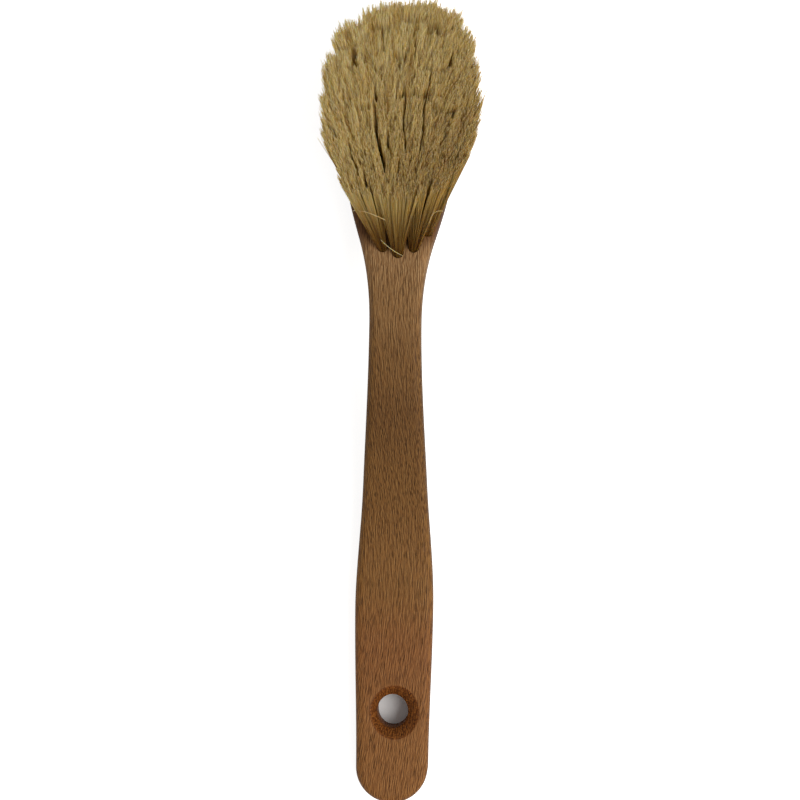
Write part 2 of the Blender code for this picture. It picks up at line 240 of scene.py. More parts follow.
# Camera
PHOTO_SCALE = 0.35 * MM  # size of a pixel on the face of the handle
CAMERA_HEIGHT = 663 * MM
FOOT_PIXEL = 490  # the camera is this far across the photograph
MIDDLE_PIXEL = 396.5  # the brush's middle line crosses the photograph's middle row here
MIDDLE_ALONG = 141.5 * MM
LEAN = math.radians(0.80)


def hermite(knots, at):
    """A smooth curve through knots of (place, value, slope)."""
    if at <= knots[0][0]:
        return knots[0][1]
    for (x0, v0, s0), (x1, v1, s1) in zip(knots, knots[1:]):
        if at <= x1:
            span = x1 - x0
            t = (at - x0) / span
            rise = t * t * (3 - 2 * t)
            start = span * s0 * t * (1 - t) ** 2
            end = span * s1 * t * t * (t - 1)
            return v0 + (v1 - v0) * rise + start + end
    return knots[-1][1]


OUTLINE = (
    (TAIL_RADIUS, TAIL_WIDTH / 2, 0),
    (GRIP_FROM_TAIL, GRIP_WIDTH / 2, 0),
    (WAIST_FROM_TAIL, WAIST_WIDTH / 2, (NECK_WIDTH - GRIP_WIDTH) / 2 / (CREST_FROM_TAIL - GRIP_FROM_TAIL)),
    (CREST_FROM_TAIL, NECK_WIDTH / 2, 0),
    (FLARE_FROM_TAIL, FLARE_WIDTH / 2, FLARE_SLOPE),
    (HEAD_FROM_TAIL, HEAD_WIDTH / 2, 0),
)


def half_width(along):
    """Half the block's width, at a distance from the end of the tail."""
    into_tail = max(0, 1 - along / TAIL_RADIUS)
    into_nose = max(0, (along - HEAD_FROM_TAIL) / NOSE_LENGTH)
    return hermite(OUTLINE, along) * math.sqrt(1 - into_tail**2) * math.sqrt(max(0, 1 - into_nose**2))


def face_height(along):
    """Height of the upper face: flat handle, arched neck, crowned head."""
    if along <= CREST_FROM_TAIL:
        return hermite(((FLAT_LENGTH, HANDLE_THICKNESS, 0), (CREST_FROM_TAIL, CREST_HEIGHT, 0)), along)
    past = (along - CREST_FROM_TAIL) / (NOSE_REST - CREST_FROM_TAIL)
    return CREST_HEIGHT - (CREST_HEIGHT - NOSE_THICKNESS) * past * past


NOSE_SLOPE = -2 * (CREST_HEIGHT - NOSE_THICKNESS) / (NOSE_REST - CREST_FROM_TAIL)
THICKNESS = (
    (FLAT_LENGTH, HANDLE_THICKNESS, 0),
    (CREST_FROM_TAIL, NECK_THICKNESS, 0),
    ((CREST_FROM_TAIL + NOSE_REST) / 2, HEAD_THICKNESS, 0),
    (NOSE_REST, NOSE_THICKNESS, NOSE_SLOPE),
)


def back_height(along):
    """Height of the back: on the ground along the handle, and again under the nose."""
    if along <= FLAT_LENGTH or along >= NOSE_REST:
        return 0.0
    return face_height(along) - hermite(THICKNESS, along)


def new_piece(name, bm, *finishes):
    """A smooth-shaded object made from a bmesh, with its place in its mesh."""
    mesh = bpy.data.meshes.new(name)
    bm.to_mesh(mesh)
    bm.free()
    for finish in finishes:
        mesh.materials.append(finish)
    mesh.shade_smooth()
    made = bpy.data.objects.new(name, mesh)
    bpy.context.scene.collection.objects.link(made)
    return made


def settled(piece):
    """The piece's mesh with its modifiers worked in."""
    bpy.context.view_layer.update()
    shown = piece.evaluated_get(bpy.context.evaluated_depsgraph_get())
    return bpy.data.meshes.new_from_object(shown)


def settle(piece):
    """Works the modifiers into the piece's own mesh."""
    mesh = settled(piece)
    piece.modifiers.clear()
    piece.data = mesh


# Finishes


class Nodes:
    """A tree whose nodes are added one after another."""

    def __init__(self, owner):
        owner.use_nodes = True
        self.nodes = owner.node_tree.nodes
        self.links = owner.node_tree.links

    def add(self, kind, values=(), **settings):
        """A node with its settings, and its input sockets set or linked, by name or number."""
        node = self.nodes.new(kind)
        for name, value in settings.items():
            setattr(node, name, value)
        for socket, value in dict(values).items():
            if isinstance(value, bpy.types.NodeSocket):
                self.links.new(value, node.inputs[socket])
            else:
                node.inputs[socket].default_value = value
        return node


class Finish(Nodes):
    """A material of one shader."""

    def __init__(self, name, roughness, **shader_values):
        self.material = bpy.data.materials.new(name)
        super().__init__(self.material)
        self.shader = self.nodes["Principled BSDF"]
        self.shader.inputs["Roughness"].default_value = roughness
        for socket, value in shader_values.items():
            self.shader.inputs[socket.replace("_", " ")].default_value = value

    def stretched(self, where, scale, shift=(0, 0, 0)):
        """Coordinates scaled and then moved."""
        values = {"Vector": where, "Scale": scale, "Location": shift}
        return self.add("ShaderNodeMapping", values).outputs["Vector"]

    def place(self, scale=(1, 1, 1)):
        """Object coordinates, stretched."""
        return self.stretched(self.add("ShaderNodeTexCoord").outputs["Object"], scale)

    def noise(self, where, scale, detail=3, roughness=0.55, distortion=0):
        """Noise values around a half."""
        values = {"Vector": where, "Scale": scale, "Detail": detail}
        values |= {"Roughness": roughness, "Distortion": distortion}
        return self.add("ShaderNodeTexNoise", values).outputs["Fac"]

    def ramp(self, value, stops, interpolation="LINEAR"):
        """Colours or greys by value; stops are (place, grey or colour)."""
        node = self.add("ShaderNodeValToRGB", {"Fac": value})
        node.color_ramp.interpolation = interpolation
        elements = node.color_ramp.elements
        while len(elements) < len(stops):
            elements.new(0.5)
        for element, (place, colour) in zip(elements, stops):
            element.position = place
            shade = (colour,) * 3 if isinstance(colour, (int, float)) else colour
            element.color = (*shade, 1)
        return node.outputs["Color"]

    def mix(self, share, first, second, blend="MIX"):
        """Two colours mixed by a share."""
        node = self.add("ShaderNodeMix", data_type="RGBA", blend_type=blend)
        for socket, value in zip((node.inputs[0], node.inputs[6], node.inputs[7]), (share, first, second)):
            if isinstance(value, bpy.types.NodeSocket):
                self.links.new(value, socket)
            elif isinstance(value, tuple):
                socket.default_value = (*value, 1)
            else:
                socket.default_value = value
        return node.outputs[2]

    def math(self, operation, first, second=0.0):
        """A sum of two values or the like."""
        return self.add("ShaderNodeMath", {0: first, 1: second}, operation=operation).outputs[0]

    def spread(self, value, low, high):
        """A value of 0 to 1 spread over another range."""
        values = {"Value": value, "To Min": low, "To Max": high}
        return self.add("ShaderNodeMapRange", values).outputs["Result"]

    def share(self, value, start, end):
        """How far a value is on the way from start to end, 0 to 1."""
        values = {"Value": value, "From Min": start, "From Max": end}
        return self.add("ShaderNodeMapRange", values).outputs["Result"]

    def colour(self, socket):
        self.links.new(socket, self.shader.inputs["Base Color"])

    def dull(self, socket):
        self.links.new(socket, self.shader.inputs["Roughness"])

    def bump(self, height, distance, strength=1.0):
        node = self.add("ShaderNodeBump", {"Height": height, "Distance": distance, "Strength": strength})
        self.links.new(node.outputs["Normal"], self.shader.inputs["Normal"])


def grain_place(finish):
    """Coordinates that lean with the wood's wandering grain, the share of the block's length, and
    whether it is the block's side."""
    spot = finish.add("ShaderNodeTexCoord").outputs
    parts = finish.add("ShaderNodeSeparateXYZ", {"Vector": spot["Object"]}).outputs
    reach = finish.share(parts["Y"], -ORIGIN_FROM_TAIL, BLOCK_LENGTH - ORIGIN_FROM_TAIL)
    drift = finish.ramp(reach, GRAIN_DRIFT, "B_SPLINE")
    sideways = finish.math("MULTIPLY", drift, GRAIN_DRIFT_WIDTH)
    leaning = finish.math("SUBTRACT", parts["X"], sideways)
    joined = finish.add("ShaderNodeCombineXYZ", {"X": leaning, "Y": parts["Y"], "Z": parts["Z"]})
    facing = finish.add("ShaderNodeSeparateXYZ", {"Vector": spot["Normal"]}).outputs["X"]
    side = finish.ramp(finish.math("ABSOLUTE", facing), ((0.55, 0), (0.85, 1)))
    return joined.outputs["Vector"], reach, side


def beech(name, end_grain=False):
    """Oiled beech: bands along the grain, fine streaks with a painted highlight and painted shade on their
    sides, and short dark spindle-shaped flecks.
    """
    finish = Finish(name, 0.6, Specular_IOR_Level=0.15)
    where, reach, side = grain_place(finish)

    def grain(scale, roughness, distortion=0, shift=0):
        """Noise drawn out along the grain, finer in height on the block's sides."""
        face = finish.stretched(where, scale, (shift, 0, 0))
        edge = finish.stretched(where, (*scale[:2], SIDE_FINENESS * scale[2]), (0, 0, shift))
        face, edge = (finish.noise(at, 1, 2, roughness, distortion) for at in (face, edge))
        return finish.add("ShaderNodeMix", {0: side, 2: face, 3: edge}).outputs[0]

    bands = finish.noise(finish.stretched(where, (170, 9, 170)), 1, 3, 0.5, 0.3)
    streaks = grain(STREAKS_PER_METRE, 0.5, 0.4)
    # the streak compared with itself a little aside gives its slope, for painted light and shade as if lit
    # from one side
    beside = grain(STREAKS_PER_METRE, 0.5, 0.4, STREAK_SLOPE)
    slope = finish.math("ADD", finish.math("MULTIPLY", finish.math("SUBTRACT", streaks, beside), 2.7), 0.5)
    pores = grain(PORES_PER_METRE, 0.6)
    cells = {"Vector": finish.stretched(where, FLECKS_PER_METRE), "Scale": 1, "Randomness": 1}
    flecks = finish.add("ShaderNodeTexVoronoi", cells, feature="F1").outputs
    chosen = finish.add("ShaderNodeSeparateColor", {"Color": flecks["Color"]}).outputs["Red"]
    spindle = finish.ramp(flecks["Distance"], ((0.12, 1), (0.42, 0)), "EASE")
    picked = finish.ramp(chosen, ((0.35, 0), (0.6, 1)))
    fleck = finish.math("MULTIPLY", spindle, picked)
    banded = finish.mix(finish.spread(bands, -0.1, 0.4), (0.322, 0.166, 0.063), (0.351, 0.204, 0.080))
    warm = finish.mix(finish.ramp(streaks, ((0.36, 1), (0.56, 0))), banded, (0.74, 0.69, 0.62), "MULTIPLY")
    # painted highlight on the side of each streak that faces the light, painted shade on the other side
    light = finish.mix(finish.ramp(slope, ((0.54, 0), (0.85, 0.8))), warm, (0.445, 0.274, 0.126))
    dark = finish.mix(finish.ramp(slope, ((0.12, 0.9), (0.44, 0))), light, (0.103, 0.045, 0.015))
    spotted = finish.mix(finish.math("MULTIPLY", fleck, 0.45), dark, (0.103, 0.042, 0.013))
    fine = finish.mix(finish.ramp(pores, ((0.3, 0.5), (0.5, 0))), spotted, (0.117, 0.056, 0.018))
    fine = finish.mix(1.0, fine, finish.ramp(reach, TONE_ALONG, "EASE"), "MULTIPLY")
    if end_grain:
        rough = finish.ramp(finish.noise(finish.place((1700, 1700, 1700)), 1, 2), ((0.40, 0.9), (0.55, 0)))
        pitted = finish.mix(rough, fine, (0.40, 0.32, 0.24), "MULTIPLY")
        fine = finish.mix(1.0, pitted, (0.94, 0.76, 0.48), "MULTIPLY")
    finish.colour(fine)
    finish.dull(finish.spread(streaks, 0.42, 0.66))
    raised = finish.math("SUBTRACT", finish.math("MULTIPLY", streaks, 0.6), fleck)
    finish.bump(finish.math("ADD", raised, finish.math("MULTIPLY", pores, 0.5)), 0.25 * MM, 1.0)
    return finish.material


def fan_streaks(finish, spot):
    """Fine streaks and broader bands along the way the bristles fan, seen from above."""
    back = finish.math("MULTIPLY", finish.math("SUBTRACT", FAN_MIDDLE[1], spot["Y"]), 1 / FAN_REACH)
    across = finish.math("SUBTRACT", spot["X"], FAN_MIDDLE[0])
    across = finish.math("MULTIPLY", across, finish.math("EXPONENT", back))
    where = finish.add("ShaderNodeCombineXYZ", {"X": across, "Y": spot["Y"], "Z": 0.0}).outputs["Vector"]
    streak = finish.noise(finish.stretched(where, (2900, 75, 1)), 1, 2, 0.6)
    band = finish.noise(finish.stretched(where, (520, 40, 1)), 1, 3, 0.6)
    return streak, band


def plant_fibre():
    """Straw-coloured plant fibre: each strand has its own tone, paler at its cut ends. It is darkened
    towards the roots, the heel and the right, which takes in some of the photograph's shade."""
    glow = {"Subsurface_Weight": 0.7, "Subsurface_Scale": 0.5 * MM, "Subsurface_Radius": (1.0, 0.65, 0.25)}
    finish = Finish("plant_fibre", 0.55, Specular_IOR_Level=0.15, **glow)
    tone = finish.add("ShaderNodeAttribute", attribute_name="tone").outputs["Fac"]
    rise = finish.add("ShaderNodeAttribute", attribute_name="rise").outputs["Fac"]
    spot = finish.add("ShaderNodeSeparateXYZ", {"Vector": finish.place()}).outputs
    streak, band = fan_streaks(finish, spot)
    own = finish.ramp(
        finish.math("ADD", tone, finish.spread(streak, -0.8, 0.8)),
        (
            (0.00, (0.73, 0.436, 0.142)),
            (0.25, (0.84, 0.538, 0.196)),
            (0.60, (0.93, 0.630, 0.258)),
            (0.85, (0.96, 0.698, 0.322)),
            (1.00, (0.98, 0.780, 0.410)),
        ),
    )
    mottle = finish.noise(finish.place((1100, 220, 400)), 1, 3, 0.6)
    # darker in broad bands along the fan: the fibres' own tone, with painted shade between groups of
    # strands
    banded_tone_and_shade = finish.mix(finish.ramp(band, ((0.36, 0.8), (0.52, 0))), own, (0.84, 0.72, 0.50), "MULTIPLY")
    heel = finish.share(spot["Y"], *HEEL_TIPS)
    right = finish.share(spot["X"], *RIGHT_TIPS)
    to_heel = finish.math("MULTIPLY", heel, finish.spread(right, 0.4, 1.0))
    darker = finish.mix(to_heel, banded_tone_and_shade, (0.50, 0.45, 0.30), "MULTIPLY")
    to_right = finish.math("MULTIPLY", right, finish.spread(heel, 0.6, 1.0))
    shaded = finish.mix(to_right, darker, (0.64, 0.62, 0.56), "MULTIPLY")
    # darker towards the roots, deep among the strands: partly painted shade
    root = finish.mix(finish.ramp(rise, ((0.35, 1), (0.85, 0))), shaded, (0.58, 0.48, 0.30), "MULTIPLY")
    deep = finish.mix(finish.ramp(rise, ((0.05, 1), (0.35, 0))), root, (0.60, 0.50, 0.38), "MULTIPLY")
    # some strands low in the tufts much darker: painted lines of shade between the strands
    low = finish.ramp(rise, ((0.3, 0.9), (0.85, 0)))
    sunk = finish.math("MULTIPLY", low, finish.ramp(tone, ((0.42, 1), (0.52, 0))))
    lined = finish.mix(sunk, deep, (0.30, 0.24, 0.17), "MULTIPLY")
    ends = finish.mix(finish.ramp(rise, ((0.97, 0), (1.0, 0.2))), lined, (0.84, 0.70, 0.47))
    finish.colour(ends)
    finish.dull(finish.spread(mottle, 0.4, 0.62))
    finish.bump(mottle, 0.04 * MM, 0.6)
    return finish.material


def anchor_metal():
    """Bare flat wire of the anchors, drawn and a little tarnished."""
    finish = Finish("drawn_steel", 0.35, Metallic=1.0)
    drawn = finish.noise(finish.place((2500, 300, 2500)), 1, 3)
    cloud = finish.noise(finish.place((350, 350, 350)), 1, 3)
    finish.colour(finish.mix(cloud, (0.50, 0.49, 0.47), (0.66, 0.66, 0.67)))
    finish.dull(finish.spread(drawn, 0.25, 0.5))
    finish.bump(drawn, 0.02 * MM, 0.5)
    return finish.material


BEECH = beech("oiled_beech")
CUT_BEECH = beech("cut_end_grain", end_grain=True)
FIBRE = plant_fibre()
STEEL = anchor_metal()


# The block


def block_stations():
    """Distances from the tail of the points of the block's outline."""
    turns = [math.pi / 2 * (k + 1) / BLOCK_END_STEPS for k in range(BLOCK_END_STEPS)]
    tail = [TAIL_RADIUS * (1 - math.cos(turn)) for turn in turns]
    nose = [HEAD_FROM_TAIL + NOSE_LENGTH * math.cos(turn) for turn in reversed(turns)]
    length = nose[0] - tail[-1]
    count = round(length / BLOCK_STEP)
    return tail + [tail[-1] + length * k / count for k in range(1, count)] + nose


def rim_rings(bm):
    """Which ring in from the rim each point of a sheet is in."""
    ring = {v: 0 for e in bm.edges if e.is_boundary for v in e.verts}
    for k in range(1, ROUNDING_STEPS + 1):
        reached = [e.other_vert(v) for v, level in ring.items() if level == k - 1 for e in v.link_edges]
        ring.update({v: k for v in reached if v not in ring})
    return ring


def beech_block():
    """The block: a sheet along the outline, rounded over its rim, thickened down to the back."""
    places = block_stations()
    bm = bmesh.new()
    bmesh.ops.create_grid(bm, x_segments=1, y_segments=len(places) - 1, size=1)
    rows = sorted({round(v.co.y, 5) for v in bm.verts})
    for v in bm.verts:
        along = places[rows.index(round(v.co.y, 5))]
        v.co = (math.copysign(half_width(along), v.co.x), along - ORIGIN_FROM_TAIL, 0)
    face = bm.faces[:]
    turns = [math.pi / 2 * k / ROUNDING_STEPS for k in range(ROUNDING_STEPS + 1)]
    inset = [EDGE_RADIUS * (1 - math.cos(turn)) for turn in turns]
    for before, after in zip(inset, inset[1:]):
        bmesh.ops.inset_region(
            bm, faces=face, thickness=after - before, use_boundary=True, use_even_offset=True
        )
    drops = {tuple(v.co): EDGE_RADIUS * (1 - math.sin(turns[level])) for v, level in rim_rings(bm).items()}
    grown = bmesh.ops.extrude_face_region(bm, geom=bm.faces[:])["geom"]
    low = {v for v in grown if isinstance(v, bmesh.types.BMVert)}
    for v in bm.verts:
        along = v.co.y + ORIGIN_FROM_TAIL
        sunk = drops[tuple(v.co)]
        v.co.z = back_height(along) + sunk if v in low else face_height(along) - sunk
    bmesh.ops.recalc_face_normals(bm, faces=bm.faces[:])
    return new_piece("oiled_beech_block", bm, BEECH, CUT_BEECH)


def cut_away(block, cutter):
    """Takes a cutter out of the block; the cut faces keep the cutter's finish."""
    modifier = block.modifiers.new("cut", "BOOLEAN")
    modifier.operation = "DIFFERENCE"
    modifier.solver = "EXACT"
    modifier.material_mode = "TRANSFER"
    modifier.object = cutter
    settle(block)
    bpy.data.objects.remove(cutter)


def hang_hole_cutter():
    """The hanging hole as a turned solid: countersink with a softened rim, bore, chamfer below."""
    bore = HANG_HOLE_WIDTH / 2
    mouth = COUNTERSINK_WIDTH / 2
    top = HANDLE_THICKNESS
    soft = RIM_SOFTNESS
    profile = (
        (0, top + CUTTER_RISE),
        (mouth + CUTTER_RISE, top + CUTTER_RISE),
        (mouth + soft * 1.2, top + soft * 0.1),
        (mouth + soft * 0.25, top - soft * 0.15),
        (mouth - soft * 0.5, top - soft * 0.75),
        (bore + soft * 0.35, top - COUNTERSINK_DEPTH + soft * 0.35),
        (bore, top - COUNTERSINK_DEPTH - soft * 0.3),
        (bore, BACK_CHAMFER),
        (bore + 2 * BACK_CHAMFER, -BACK_CHAMFER),
        (0, -BACK_CHAMFER),
    )
    bm = bmesh.new()
    points = [bm.verts.new((radius, 0, height)) for radius, height in profile]
    line = [bm.edges.new(pair) for pair in zip(points, points[1:])]
    bmesh.ops.spin(
        bm,
        geom=points + line,
        cent=(0, 0, 0),
        axis=(0, 0, 1),
        angle=2 * math.pi,
        steps=HANG_HOLE_SIDES,
        use_merge=True,
    )
    bmesh.ops.remove_doubles(bm, verts=bm.verts, dist=0.001 * MM)
    for v in bm.verts:
        v.co.x += COUNTERSINK_TO_RIGHT * max(0, (v.co.z - top) / COUNTERSINK_DEPTH + 1)
    bmesh.ops.recalc_face_normals(bm, faces=bm.faces[:])
    place = Matrix.Translation((0, HANG_HOLE_FROM_TAIL - ORIGIN_FROM_TAIL, 0))
    bmesh.ops.transform(bm, matrix=place @ Matrix.Diagonal((1, HANG_HOLE_DRAW, 1, 1)), verts=bm.verts)
    return new_piece("hang_hole_cutter", bm, CUT_BEECH)


def tuft_holes_cutter(frames):
    """The drilled holes of the tufts."""
    bm = bmesh.new()
    for place in frames:
        bmesh.ops.create_cone(
            bm,
            cap_ends=True,
            segments=HOLE_SIDES,
            radius1=HOLE_RADIUS,
            radius2=HOLE_RADIUS,
            depth=HOLE_DEPTH + TUFT_CUTTER_RISE,
            matrix=place @ Matrix.Translation((0, 0, (TUFT_CUTTER_RISE - HOLE_DEPTH) / 2)),
        )
    return new_piece("tuft_holes_cutter", bm, CUT_BEECH)


# The tufts


def hole_places():
    """Where the tuft holes meet the face, as (x, distance from the tail)."""
    middle = (FIRST_TUFT + LAST_TUFT) / 2
    outer_y = (LAST_TUFT - FIRST_TUFT) / 2
    places = []
    for k in range(TUFTS_IN_OUTER_ROW):
        turn = 2 * math.pi * k / TUFTS_IN_OUTER_ROW
        places.append((OUTER_ROW_HALF_WIDTH * math.sin(turn), middle - outer_y * math.cos(turn)))
    x, along = places[-2]
    places[-2] = (x + STRAY_SHIFT[0], along + STRAY_SHIFT[1])
    middle_x = (OUTER_ROW_HALF_WIDTH + PAIR_HALF_WIDTH) / 2
    middle_y = (outer_y + PAIR_HALF_LENGTH) / 2
    for k in range(TUFTS_IN_MIDDLE_ROW):
        turn = 2 * math.pi * (k + 0.5) / TUFTS_IN_MIDDLE_ROW
        places.append((middle_x * math.sin(turn), middle - middle_y * math.cos(turn)))
    for x in (-PAIR_HALF_WIDTH, PAIR_HALF_WIDTH):
        places += [(x, middle - PAIR_HALF_LENGTH), (x, middle + PAIR_HALF_LENGTH)]
    return places


def tuft_frame(x, along):
    """Matrix of a tuft: origin where its hole meets the face, Z along the tuft, X across."""
    share = (along - FIRST_TUFT) / (LAST_TUFT - FIRST_TUFT)
    lean = FIRST_LEAN + (LAST_LEAN - FIRST_LEAN) * share**LEAN_CURVE
    sideways = (x * SIDE_FAN + TIPS_TO_RIGHT) / BRISTLE_LENGTH
    upright = math.sqrt(1 - sideways * sideways)
    axis = Vector((sideways, upright * math.sin(lean), upright * math.cos(lean)))
    across = (Vector((1, 0, 0)) - axis * axis.x).normalized()
    turn = Matrix((across, axis.cross(across), axis)).transposed().to_4x4()
    mouth = Vector((x + FIELD_TO_RIGHT, along - ORIGIN_FROM_TAIL, face_height(along)))
    return Matrix.Translation(mouth) @ turn


def strands(count):
    """A number of straight three-sided strands on one spot, cut into short lengths along Z."""
    bm = bmesh.new()
    length = STATIONS - 1
    bmesh.ops.create_cone(bm, cap_ends=True, segments=STRAND_SIDES, radius1=1, radius2=1, depth=length)
    long_edges = [e for e in bm.edges if abs(e.verts[0].co.z - e.verts[1].co.z) > 1]
    bmesh.ops.subdivide_edges(bm, edges=long_edges, cuts=length - 1)
    bmesh.ops.translate(bm, vec=(0, 0, length / 2), verts=bm.verts)
    bmesh.ops.recalc_face_normals(bm, faces=bm.faces[:])
    one = new_piece("strand", bm, FIBRE)
    row = one.modifiers.new("many", "ARRAY")
    row.count = count
    row.use_relative_offset = False
    mesh = settled(one)
    bpy.data.objects.remove(one)
    return mesh


def disc_spots(count):
    """Spots spread evenly over a disc of radius 1."""
    index = np.arange(count)
    radius = np.sqrt((index + 0.5) / count)
    turn = index * math.pi * (3 - math.sqrt(5))
    return np.stack([radius * np.cos(turn), radius * np.sin(turn)], axis=1)


def trimmed_dome(frames):
    """Height of the dome that the bristles are trimmed to, through the middles of the tufts' tips."""
    tips = np.array([place @ Vector((0, 0, BRISTLE_LENGTH)) for place in frames])
    weights = np.linalg.lstsq(dome_terms(tips), tips[:, 2], rcond=None)[0]
    return lambda points: dome_terms(points) @ weights


def dome_terms(points):
    """Powers of the places that the dome's height is summed from."""
    x, y = points[..., 0] / DOME_SIZE, (points[..., 1] - DOME_MIDDLE) / DOME_SIZE
    return np.stack([np.ones_like(x), y, y**2, y**3, x**2], axis=-1)


def trimmed(place, base, tips, length):
    """How far along its way from base to tip each strand meets the dome."""
    matrix = np.array(place)
    start = base @ matrix[:3, :2].T + matrix[:3, 3]
    way = (tips - base) @ matrix[:3, :2].T + length[:, None] * matrix[:3, 2]
    share = np.ones(len(base))
    for _ in range(6):
        ahead, behind = (start + (share + step)[:, None] * way for step in (0.01, 0))
        over = behind[:, 2] - dome(behind)
        steep = (ahead[:, 2] - dome(ahead) - over) / 0.01
        share = np.clip(share - over / steep, 0.7, 1.2)
    return share


def squared(spots):
    """Spots of a disc, moved out towards the corners of a square."""
    turn = np.arctan2(spots[:, 1], spots[:, 0])
    reach = np.maximum(np.abs(np.cos(turn)), np.abs(np.sin(turn))) ** -SQUARENESS
    return spots * reach[:, None]


def by_bearing(draw, bearing, step, deviation):
    """Values that strands with about the same bearing, seen from above, have in common."""
    band = np.rint(bearing / step).astype(int)
    return draw.normal(0, deviation, np.ptp(band) + 1)[band - band.min()]


def parting_push(draw, tips):
    """How far tips, seen from above, are pushed aside by the partings."""
    push = np.zeros_like(tips)
    waver = draw.normal(0, PARTING_WAVER, len(tips))
    heed = draw.uniform(*PARTING_HEED, len(tips))
    for start, end, half_width in PARTINGS:
        first, way = np.array(start) * MM, (np.array(end) - start) * MM
        length = np.linalg.norm(way)
        beside = np.array((way[1], -way[0])) / length
        share = (tips - first) @ way / length**2
        off = (tips - first) @ beside + waver + PARTING_BEND * np.sin(3 * np.pi * share)
        taper = np.sin(np.pi * np.clip(share, 0, 1)) ** 0.5
        size = half_width * MM * taper * np.exp(-np.abs(off) / PARTING_REACH)
        push += (np.sign(off) * size * heed)[:, None] * beside
    return push


def legs(draw, spots, place, spread, shift, raggedness):
    """Paths and tones of the free legs of a tuft, from their tips down to the mouth of the hole."""
    count = len(spots)
    centres = disc_spots(LOCKS_IN_TUFT) * 0.95
    lock = np.argmin(np.linalg.norm(spots[:, None] - centres[None], axis=2), axis=1)
    tips = squared((1 - LOCK_PULL) * spots + LOCK_PULL * centres[lock]) @ spread + np.array(shift)
    tips += draw.normal(0, LOCK_SHIFT, (LOCKS_IN_TUFT, 2))[lock]
    loose = np.where(draw.random(count) < LOOSE_SHARE, LOOSE_SPREAD, KEPT_SPREAD)
    tips += np.clip(draw.normal(0, 1, (count, 2)), -FARTHEST, FARTHEST) * loose[:, None]
    base = spots * (WAIST_RADIUS * draw.uniform(*BASE_SPREAD, (count, 1)))
    length = np.full(count, BRISTLE_LENGTH)
    matrix = np.array(place)
    way = (tips - base) @ matrix[:2, :2].T + length[:, None] * matrix[:2, 2]
    bearing = np.arctan2(way[:, 0], way[:, 1])
    meeting = trimmed(place, base, tips, length)
    seen = (base @ matrix[:2, :2].T + matrix[:2, 3]) + meeting[:, None] * way
    tips += parting_push(draw, seen) @ matrix[:2, :2]
    share = 1 + TRIM_SHARE * (meeting - 1)
    short = np.where(draw.random(count) < SHORT_SHARE, draw.exponential(SHORT_BY, count), 0)
    ragged = draw.uniform(0, raggedness, count) + np.minimum(short, SHORTEST_BY)
    ragged += by_bearing(draw, bearing, RIDGE_TURN, RIDGE_DEVIATION)
    ragged += by_bearing(draw, bearing, LOCK_TURN, LOCK_DEVIATION)
    share -= ragged / length
    tips = base + (tips - base) * share[:, None]
    length = length * share
    bow = draw.normal(0, LOCK_BOW, (LOCKS_IN_TUFT, 2))[lock] + draw.normal(0, STRAND_BOW, (count, 2))
    path = np.zeros((count, FREE_STEPS + 1, 3))
    for k, rise in enumerate(STATION_SHARES):
        path[:, k, :2] = base + (tips - base) * rise**BOW_CURVE
        path[:, k, :2] += bow * math.sin(math.pi * rise)
        path[:, k, 2] = length * rise
    tone = 0.5 + by_bearing(draw, bearing, RIDGE_TURN, RIDGE_TONE) + draw.normal(0, STRAND_TONE, count)
    return path, np.clip(tone, 0, 1)


def spread_of(number):
    """How a tuft's strands open out: a matrix from spots of a unit disc to places of the tips."""
    if number > TUFTS_IN_OUTER_ROW + TUFTS_IN_MIDDLE_ROW:
        return np.diag(INNER_SPREAD)
    if number > TUFTS_IN_OUTER_ROW:
        return np.diag(MIDDLE_SPREAD)
    turn = 2 * math.pi * (number - 1) / TUFTS_IN_OUTER_ROW
    outwards = np.array((math.sin(turn), -math.cos(turn)))
    beside = np.array((math.cos(turn), math.sin(turn)))
    return OUTER_SPREAD[0] * np.outer(outwards, outwards) + OUTER_SPREAD[1] * np.outer(beside, beside)


def tuft(number, place, shift=(0, 0)):
    """A tuft: strands folded under the anchor, both legs rising out of the hole and fanning."""
    draw = np.random.default_rng(100 + number)
    spots = disc_spots(STRANDS_IN_TUFT)
    spots[:, 1] = np.abs(spots[:, 1])
    spots += draw.normal(0, 0.02, spots.shape)
    spots[:, 1] = np.abs(spots[:, 1])
    spread = spread_of(number)
    raggedness = OUTER_RAGGED if number <= TUFTS_IN_OUTER_ROW else INNER_RAGGED
    up, up_tone = legs(draw, spots, place, spread, shift, raggedness)
    down, down_tone = legs(draw, spots * (1, -1), place, spread, shift, raggedness)
    count = len(spots)
    fold = FOLD_GAP + spots[:, 1] * (WAIST_RADIUS - FOLD_GAP)
    path = np.zeros((count, STATIONS, 3))
    path[:, : FREE_STEPS + 1] = up
    path[:, -FREE_STEPS - 1 :] = down[:, ::-1]
    for k in range(FOLD_STEPS + 1):
        turn = math.pi * k / FOLD_STEPS
        at = FREE_STEPS + 1 + k
        path[:, at, 0] = spots[:, 0] * WAIST_RADIUS * FOLD_WIDTH
        path[:, at, 1] = fold * math.cos(turn)
        path[:, at, 2] = ANCHOR_FOOT - FOLD_DEPTH * fold * math.sin(turn)
    rise = np.zeros((count, STATIONS))
    rise[:, : FREE_STEPS + 1] = np.array(STATION_SHARES)
    rise[:, -FREE_STEPS - 1 :] = np.array(STATION_SHARES)[::-1]
    tone = np.repeat(up_tone[:, None], STATIONS, axis=1)
    tone[:, STATIONS // 2 :] = down_tone[:, None]
    matrix = np.array(place)
    path = path @ matrix[:3, :3].T + matrix[:3, 3]
    radius = draw.uniform(*STRAND_RADII, count)
    return laid_strands(f"fibre_tuft_{number:02d}", draw, path, radius, tone, rise)


